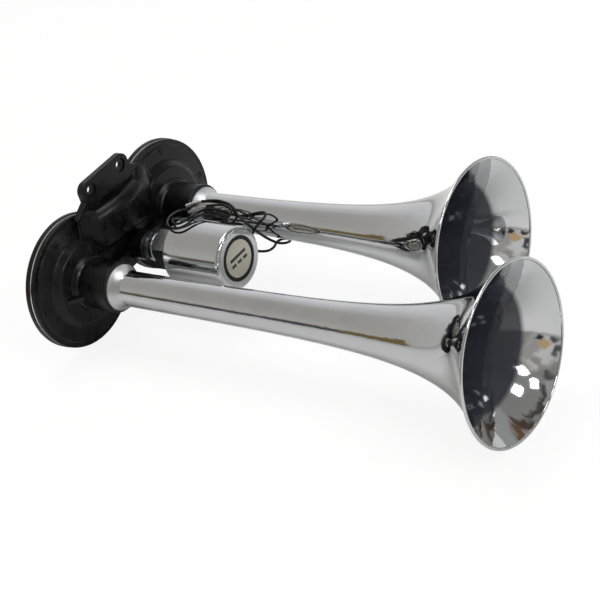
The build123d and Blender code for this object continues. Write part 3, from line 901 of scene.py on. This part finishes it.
@dataclass
class ScrewSet:
    """The screws of one cover and the bosses that they end in, in millimetres.

    Attributes:
        count, circle_r: Number of screws, and radius of their circle.
        head_r, head_x, seat_x: A head's radius, outer face and inner face.
        head_bevel, head_sides: Its bevel, and the sides of its round.
        end_x, shank_r: A shank's end and radius.
        socket_r, socket_depth: Corner radius and depth of the hexagon socket.
        boss_r, boss_start_x, boss_x: A front boss's radius, foot and face.
        boss_bevel, boss_sides: Its bevel, and the sides of its round.
        dimple_wall, dimple_slope, dimple_depth: Rim, sloping side and depth of its dimple.
        overlap, cut_past: How far a shank starts inside its head, and a cutter before it.
    """

    count: int = 5
    circle_r: float = 38.5
    head_r: float = 2.9
    head_x: float = -7.7
    head_bevel: float = 0.35
    head_sides: int = 40
    seat_x: float = -5.9
    end_x: float = -1.0
    shank_r: float = 1.5
    socket_r: float = 1.45
    socket_depth: float = 1.1
    boss_r: float = 2.5
    boss_start_x: float = 0.4
    boss_x: float = 2.0
    boss_bevel: float = 0.5
    boss_sides: int = 36
    dimple_wall: float = 0.8
    dimple_slope: float = 0.25
    dimple_depth: float = 0.35
    overlap: float = 0.05
    cut_past: float = 1.0

    def screw(self) -> Shaper:
        """One screw with a bevelled head and a hexagon socket.

        Returns:
            The screw, on the axis.
        """
        head = rod("screw_head", self.head_r, self.head_x, self.seat_x, self.head_sides)
        head.edit(near_x(self.head_x),
                  (bpy.ops.mesh.bevel, {"offset": self.head_bevel * MM, "segments": 3}))
        cutter = rod("socket_cutter", self.socket_r, self.head_x - self.cut_past,
                     self.head_x + self.socket_depth, HEX_SIDES)
        head.modify("BOOLEAN", object=cutter.body, operation="DIFFERENCE", solver="EXACT")
        cutter.drop()
        start = self.seat_x - self.overlap
        return head.join([rod("screw_shank", self.shank_r, start, self.end_x)])

    def boss(self) -> Shaper:
        """One low round boss with a dimple in its face.

        Returns:
            The boss, on the axis.
        """
        boss = rod("front_boss", self.boss_r, self.boss_start_x, self.boss_x, self.boss_sides)
        boss.edit(near_x(self.boss_x),
                  (bpy.ops.mesh.bevel, {"offset": self.boss_bevel * MM, "segments": 3}))
        boss.edit(near_x(self.boss_x, 0.01),
                  (bpy.ops.mesh.inset, {"thickness": self.dimple_wall * MM}),
                  (bpy.ops.mesh.inset, {"thickness": self.dimple_slope * MM,
                                        "depth": -self.dimple_depth * MM}))
        return boss

    def spots(self, side: Side) -> list[Matrix]:
        """Places of the screws of one horn.

        Args:
            side: The horn.

        Returns:
            One placement for each screw.
        """
        start = 0.0 if side is Side.SHORT else pi
        axis = Matrix.Translation(place(0.0, side.value * HALF_SPACING, 0.0))
        outward = Matrix.Translation((0.0, self.circle_r * MM, 0.0))
        turns = [start + side.value * 2 * pi * k / self.count for k in range(self.count)]
        return [axis @ Matrix.Rotation(turn, 4, "X") @ outward for turn in turns]

    def build(self, side: Side) -> None:
        """Makes the screws and bosses of one horn.

        Args:
            side: The horn.
        """
        screw, boss = self.screw(), self.boss()
        spots = self.spots(side)
        copies = [screw.copy(f"{side.prefix}_hex_screws", spot) for spot in spots]
        copies[0].join(copies[1:]).done(SCREW_STEEL, "screw_steel", f"{side.prefix}_cover_screws")
        for number, spot in enumerate(spots, 1):
            boss.copy(f"{side.prefix}_front_boss_{number}", spot).done(CASTING, "black_casting")
        screw.drop()
        boss.drop()


@dataclass
class Horn:
    """One horn: its diaphragm stack, screws and trumpet.

    Attributes:
        side: Which of the two it is.
        plate: Finish of its trumpet.
    """

    side: Side
    plate: Finish

    def build(self) -> None:
        """Dresses the horn's nodes and adds its screws."""
        finishes = {"back_cover": COVER, "gasket": RUBBER, "diaphragm": SPRING_STEEL,
                    "clamp_ring": RING_BRIGHT, "cover_screws": SCREW_STEEL, "trumpet": self.plate,
                    "trumpet_seal": RUBBER}
        dress_nodes({f"{self.side.prefix}_{piece}": finish for piece, finish in finishes.items()})
        ScrewSet().build(self.side)
        log.info("%s horn: stack, screws and trumpet", self.side.prefix)


@dataclass
class RolledEdge:
    """The can's rolled edge, in millimetres.

    Attributes:
        x, around: Its middle, and its radius about the valve's axis.
        width: Its own radius.
    """

    x: float = 53.75
    around: float = 21.25
    width: float = 0.35

    def build(self) -> None:
        """Makes and dresses the edge."""
        only()
        bpy.ops.mesh.primitive_torus_add(
            major_radius=self.around * MM, minor_radius=self.width * MM, major_segments=96,
            minor_segments=12, location=place(self.x, 0.0, 0.0), rotation=(0.0, pi / 2, 0.0))
        roll = Shaper("can_rolled_edge")
        roll.modify("SUBSURF", levels=1, render_levels=1)
        # the edge's dark tone is painted shade
        roll.done(CAN_EDGE, "chrome_plate")


@dataclass
class BadgeMark:
    """The plain direct-current sign on the badge: a bar over three dashes, in millimetres.

    Attributes:
        face_x, proud: Face of the badge, and how far the sign stands out of it.
        length, dash, stroke: Lengths of the bar and of a dash, and their width.
        gap, corner: From the bar to the dashes, and width of their soft corners.
    """

    face_x: float = 100.9
    proud: float = 0.08
    length: float = 16.4
    stroke: float = 2.1
    gap: float = 4.4
    dash: float = 4.2
    corner: float = 0.06

    def stroke_at(self, name: str, y: float, height: float, length: float) -> Shaper:
        """One raised stroke with soft corners.

        Args:
            name: Its name.
            y: Its middle from the middle plane.
            height: Its middle above the valve's axis.
            length: Its length.

        Returns:
            The stroke.
        """
        only()
        bpy.ops.mesh.primitive_cube_add(size=1.0, location=place(self.face_x, y, height),
                                        scale=(2 * self.proud * MM, length * MM, self.stroke * MM))
        return Shaper(name).modify("BEVEL", width=self.corner * MM, segments=2)

    def build(self) -> None:
        """Makes the sign as one piece."""
        bar = self.stroke_at("badge_mark", 0.0, self.gap / 2, self.length)
        pitch = (self.length - self.dash) / 2
        dashes = [self.stroke_at("dash", k * pitch, -self.gap / 2, self.dash) for k in (-1, 0, 1)]
        bar.join(dashes).done(BADGE_PRINT, "badge_black")


@dataclass
class Valve:
    """The solenoid valve: body, winding, can and badge."""

    thread: Thread = field(default_factory=lambda: Thread("stem", 25.75, 0.0, 6.5, 0.32, 0.8, 3))
    edge: RolledEdge = field(default_factory=RolledEdge)
    mark: BadgeMark = field(default_factory=BadgeMark)

    def build(self) -> None:
        """Dresses the valve's nodes and adds its thread, edge and sign."""
        dress_nodes({
            "stem_washer": ZINC, "valve_body": ZINC, "guide_tube": SPRING_STEEL,
            "fixed_core": SOFT_IRON, "plunger": SOFT_IRON, "plunger_seal": RUBBER,
            "return_spring": SPRING_STEEL, "front_yoke": SOFT_IRON, "rear_yoke": SOFT_IRON,
            "bobbin": NYLON, "coil": WINDING, "solenoid_can": CAN_CHROME,
            "badge_disc": BADGE_METAL, "badge_ring": BADGE_BLACK,
        })
        self.thread.build().done(ZINC, "zinc_steel")
        self.edge.build()
        self.mark.build()
        log.info("valve: body, thread, can and badge")


@dataclass
class Casting:
    """The one-piece black casting, with its shoulder webs and its inlet's thread.

    Attributes:
        web_corners: Corners of a shoulder web: x, distance from the middle plane, height.
        web_round: Radius of the web's edges, in millimetres.
        inlet: The thread in the air inlet.
    """

    web_corners: tuple[Point, ...] = (
        (11.3, 20.0, 30.6), (9.0, 20.0, 36.4), (4.4, 20.0, 38.9), (10.7, 20.0, 14.9),
        (3.9, 25.0, 42.0), (3.9, 29.4, 43.2), (3.8, 35.0, 40.0), (3.2, 38.6, 27.8),
        (3.4, 35.4, 20.5), (2.8, 33.0, 15.2), (1.2, 20.0, 36.0), (1.2, 20.0, 15.2),
        (1.2, 34.8, 40.0), (1.2, 38.2, 27.8), (1.2, 33.0, 15.2),
    )
    web_round: float = 1.0
    inlet: Thread = field(default_factory=lambda: Thread("inlet", -6.4, 30.5, 4.4, -0.3, 0.907, 10))

    def shoulder_web(self, side: Side) -> None:
        """The wedge between the gallery's end and a housing, rounded all over.

        Args:
            side: The horn that it leans on.
        """
        balls = []
        for x, y, height in self.web_corners:
            only()
            bpy.ops.mesh.primitive_uv_sphere_add(
                segments=20, ring_count=12, radius=self.web_round * MM,
                location=place(x, side.value * y, height))
            balls.append(Shaper(f"{side.prefix}_shoulder_web"))
        web = balls[0].join(balls[1:])
        web.edit(lambda face: True, (bpy.ops.mesh.convex_hull, {}))
        web.done(CASTING, "black_casting")

    def build(self) -> None:
        """Dresses the casting and adds its webs and thread."""
        dress_nodes({"horn_base": CASTING})
        for side in Side:
            self.shoulder_web(side)
        self.inlet.build().done(CASTING, "black_casting")
        log.info("casting: body, shoulder webs and inlet thread")


# --- studio ---
@dataclass(frozen=True)
class Aim:
    """Where something lies round the horn, in degrees.

    Attributes:
        azimuth: Direction of its middle, from +X towards +Y.
        elevation: Height of its middle above the horizon.
        width, height: Its size.
    """

    azimuth: float
    elevation: float
    width: float
    height: float


@dataclass(frozen=True)
class Patch(Aim):
    """A soft-edged part of the room: the width of its edge, and its light."""

    soft: float
    colour: Colour

    def mask(self, graph: Graph, turn: Socket, rise: Socket) -> Socket:
        """Mask of the patch in the room.

        Args:
            graph: The world's graph.
            turn: Azimuth of the look, in radians.
            rise: Its elevation, in radians.

        Returns:
            The mask's socket.
        """
        offset = graph.math("WRAP", graph.math("SUBTRACT", turn, radians(self.azimuth)), pi, -pi)
        above = graph.math("SUBTRACT", rise, radians(self.elevation))
        masks = []
        for away, size in ((offset, self.width), (above, self.height)):
            edge = (radians((size + self.soft) / 2), radians((size - self.soft) / 2))
            masks.append(graph.remap(graph.math("ABSOLUTE", away), edge))
        return graph.math("MULTIPLY", *masks)


@dataclass(frozen=True)
class SoftBox(Aim):
    """A flat rectangular lamp that faces the bells.

    Attributes:
        name: The lamp's name.
        glow: Its brightness, where 1 is white.
        distance: From the bells, in metres.
    """

    name: str
    glow: float
    distance: float = 1.3

    def build(self, target: Vector) -> None:
        """Adds the lamp.

        Args:
            target: What it faces.
        """
        turn, rise = radians(self.azimuth), radians(self.elevation)
        outward = Vector((cos(rise) * cos(turn), cos(rise) * sin(turn), sin(rise)))
        data = bpy.data.lights.new(self.name, "AREA")
        data.shape = "RECTANGLE"
        data.size = radians(self.width) * self.distance
        data.size_y = radians(self.height) * self.distance
        data.energy = self.glow * pi * data.size * data.size_y
        lamp = bpy.data.objects.new(self.name, data)
        bpy.context.collection.objects.link(lamp)
        lamp.location = target + outward * self.distance
        lamp.rotation_mode = "QUATERNION"
        lamp.rotation_quaternion = (-outward).to_track_quat("-Z", "Y")


ROOM = (
    Patch(160, 18, 150, 110, 8, (0.66, 0.66, 0.655)),
    Patch(118, 10, 60, 70, 50, (0.88, 0.89, 0.92)),
    Patch(215, 30, 60, 90, 60, (0.50, 0.49, 0.465)),
    Patch(190, 58, 90, 40, 40, (0.42, 0.405, 0.38)),
    Patch(219, 4, 20, 15, 3, (0.20, 0.15, 0.07)),
    Patch(229, 9.5, 6, 5, 1.5, (0.30, 0.25, 0.13)),
    Patch(230, 5, 5, 9, 1.5, (0.055, 0.058, 0.10)),
    Patch(-31, 17, 26, 36, 7, (0.72, 0.71, 0.70)),
    Patch(-39, 17, 11, 34, 5, (0.42, 0.41, 0.40)),
    Patch(-24, 27, 20, 7, 3, (0.36, 0.35, 0.34)),
    Patch(-33, 8.5, 8, 8, 1.2, (0.60, 0.42, 0.23)),
    Patch(-39, 3, 4, 6, 1.2, (0.035, 0.035, 0.04)),
    Patch(-22.5, 9, 4, 8, 1.2, (0.07, 0.07, 0.08)),
    Patch(-28, 1.5, 6, 4, 1, (0.06, 0.05, 0.045)),
    Patch(-7, 26, 16, 5, 3, (0.10, 0.10, 0.095)),
    Patch(20, 31, 46, 4, 2.5, (0.08, 0.075, 0.07)),
    Patch(50, 24, 22, 8, 3, (0.09, 0.065, 0.045)),
    Patch(60, 17, 12, 14, 2, (0.16, 0.10, 0.06)),
    Patch(74, 12, 22, 34, 5, (0.38, 0.39, 0.385)),
    Patch(10, 27, 30, 5, 1.5, (0.42, 0.42, 0.40)),
)
SOFT_BOXES = (
    SoftBox(-23.0, 42.0, 10.2, 7.2, "window_left", 15.0),
    SoftBox(-3.0, 36.6, 9.0, 5.8, "window_low", 15.0),
    SoftBox(15.5, 49.0, 12.0, 6.6, "window_high", 15.0),
    SoftBox(150.0, 76.0, 36.0, 36.0, "ceiling_box", 2.6),
)


@dataclass
class Studio:
    """Pale floor, a room with a white backdrop, soft lamps, and the camera.

    Attributes:
        eye: The camera's place, in metres.
        right, up: The directions to the image's right and to its top.
        lens: Focal length for a 36 mm sensor.
        near_clip: Nearest thing that the camera sees, in metres.
        lamp_target: What the lamps face, in millimetres along X.
        floor_size, floor_height: The floor's side, and its height above the bolt holes, in metres.
        floor_slope: Its slope along X and along Y.
        paper_low, paper_high, paper_roughness: Tones and roughness of its paper.
        paper_glow, paper_share: Light and share of the clean paper that the camera sees over it.
        low_tone, high_tone: Light of the open room near the horizon and near its ceiling.
        sway, sway_size: How far the room's edges wander, in radians, and the wander's scale.
        backdrop: Light of the backdrop, as the camera sees it.
    """

    eye: Point = (0.84042555, -0.69722574, 0.53504083)
    right: Point = (0.78918947, 0.55089105, -0.27147565)
    up: Point = (-0.12869221, 0.58055865, 0.80398381)
    lens: float = 107.8175
    near_clip: float = 0.05
    lamp_target: float = 320.0
    floor_size: float = 9.0
    floor_height: float = -0.100288
    floor_slope: Span = (-0.02678, -0.02082)
    paper_low: Colour = (0.93, 0.93, 0.93)
    paper_high: Colour = (0.96, 0.96, 0.96)
    paper_roughness: float = 0.85
    paper_glow: float = 1.06
    paper_share: float = 0.82
    low_tone: Colour = (0.33, 0.32, 0.31)
    high_tone: Colour = (0.27, 0.27, 0.265)
    sway: float = 0.03
    sway_size: float = 9.0
    backdrop: Colour = (1.0, 1.0, 1.0)

    def camera(self) -> None:
        """Adds the camera and makes it the scene's own."""
        data = bpy.data.cameras.new("camera")
        data.lens = self.lens
        data.sensor_width = 36.0
        data.clip_start = self.near_clip
        data.dof.use_dof = False
        eye = bpy.data.objects.new("camera", data)
        bpy.context.collection.objects.link(eye)
        right, up = Vector(self.right), Vector(self.up)
        turn = Matrix((right, up, right.cross(up))).transposed().to_4x4()
        eye.matrix_world = Matrix.Translation(self.eye) @ turn
        bpy.context.scene.camera = eye

    def paper(self) -> bpy.types.Material:
        """White paper, which the camera sees cleaner than the horn does.

        Returns:
            The material.
        """
        made = bpy.data.materials.new("floor_paper")
        made.use_nodes = True
        graph = Graph(made.node_tree)
        cloud = graph.noise(Vector=graph.spot(), Scale=6.0)
        tone = graph.mix(cloud, self.paper_low, self.paper_high)
        shader = graph.add("ShaderNodeBsdfPrincipled",
                           {"Base Color": tone, "Roughness": self.paper_roughness})
        clean = graph.add("ShaderNodeEmission", {"Color": (*self.backdrop, 1.0),
                                                 "Strength": self.paper_glow})
        seen = graph.add("ShaderNodeLightPath").outputs["Is Camera Ray"]
        both = graph.add("ShaderNodeMixShader", {
            0: graph.math("MULTIPLY", seen, self.paper_share),
            1: shader.outputs[0], 2: clean.outputs[0]})
        graph.add("ShaderNodeOutputMaterial", {"Surface": both.outputs[0]})
        return made

    def floor(self) -> None:
        """Adds the floor, tilted to the three points that the horn stands on."""
        only()
        bpy.ops.mesh.primitive_plane_add(size=self.floor_size)
        floor = bpy.context.object
        floor.name = "floor"
        along_x, along_y = self.floor_slope
        normal = Vector((-along_x, -along_y, 1.0)).normalized()
        floor.rotation_mode = "QUATERNION"
        floor.rotation_quaternion = Vector((0, 0, 1)).rotation_difference(normal)
        floor.location = (0.0, 0.0, self.floor_height)
        floor.data.materials.append(self.paper())

    def world(self) -> None:
        """A dim room with a white backdrop behind the horn."""
        world = bpy.data.worlds.new("room")
        bpy.context.scene.world = world
        world.use_nodes = True
        graph = Graph(world.node_tree)
        look = graph.add("ShaderNodeTexCoord").outputs["Generated"]
        parts = graph.add("ShaderNodeSeparateXYZ", {0: look})
        wander = graph.noise(Vector=look, Scale=self.sway_size, Detail=2.0)
        shift = graph.remap(wander, (0.3, 0.7), (-self.sway, self.sway))
        azimuth = graph.math("ARCTAN2", parts.outputs["Y"], parts.outputs["X"])
        turn = graph.math("ADD", azimuth, shift)
        rise = graph.math("ADD", graph.math("ARCSINE", parts.outputs["Z"]), shift)
        colour = graph.mix(graph.remap(rise, (0.1, 0.9)), self.low_tone, self.high_tone)
        for patch in ROOM:
            colour = graph.mix(patch.mask(graph, turn, rise), colour, patch.colour)
        seen = graph.add("ShaderNodeLightPath").outputs["Is Camera Ray"]
        light = graph.add("ShaderNodeBackground", {"Color": graph.mix(seen, colour, self.backdrop)})
        graph.add("ShaderNodeOutputWorld", {"Surface": light.outputs[0]})

    def build(self) -> None:
        """Sets up the whole studio."""
        self.camera()
        self.floor()
        self.world()
        for box in SOFT_BOXES:
            box.build(place(self.lamp_target, 0.0, 0.0))
        bpy.context.scene.view_settings.view_transform = "Standard"
        log.info("studio: camera, floor, room and %d lamps", len(SOFT_BOXES))


def main() -> None:
    """Builds the horn's looks and the studio, in order."""
    Studio().build()
    LeadHank().build()
    Casting().build()
    Horn(Side.LONG, LONG_CHROME).build()
    Horn(Side.SHORT, SHORT_CHROME).build()
    Valve().build()


if __name__ == "__main__":
    main()
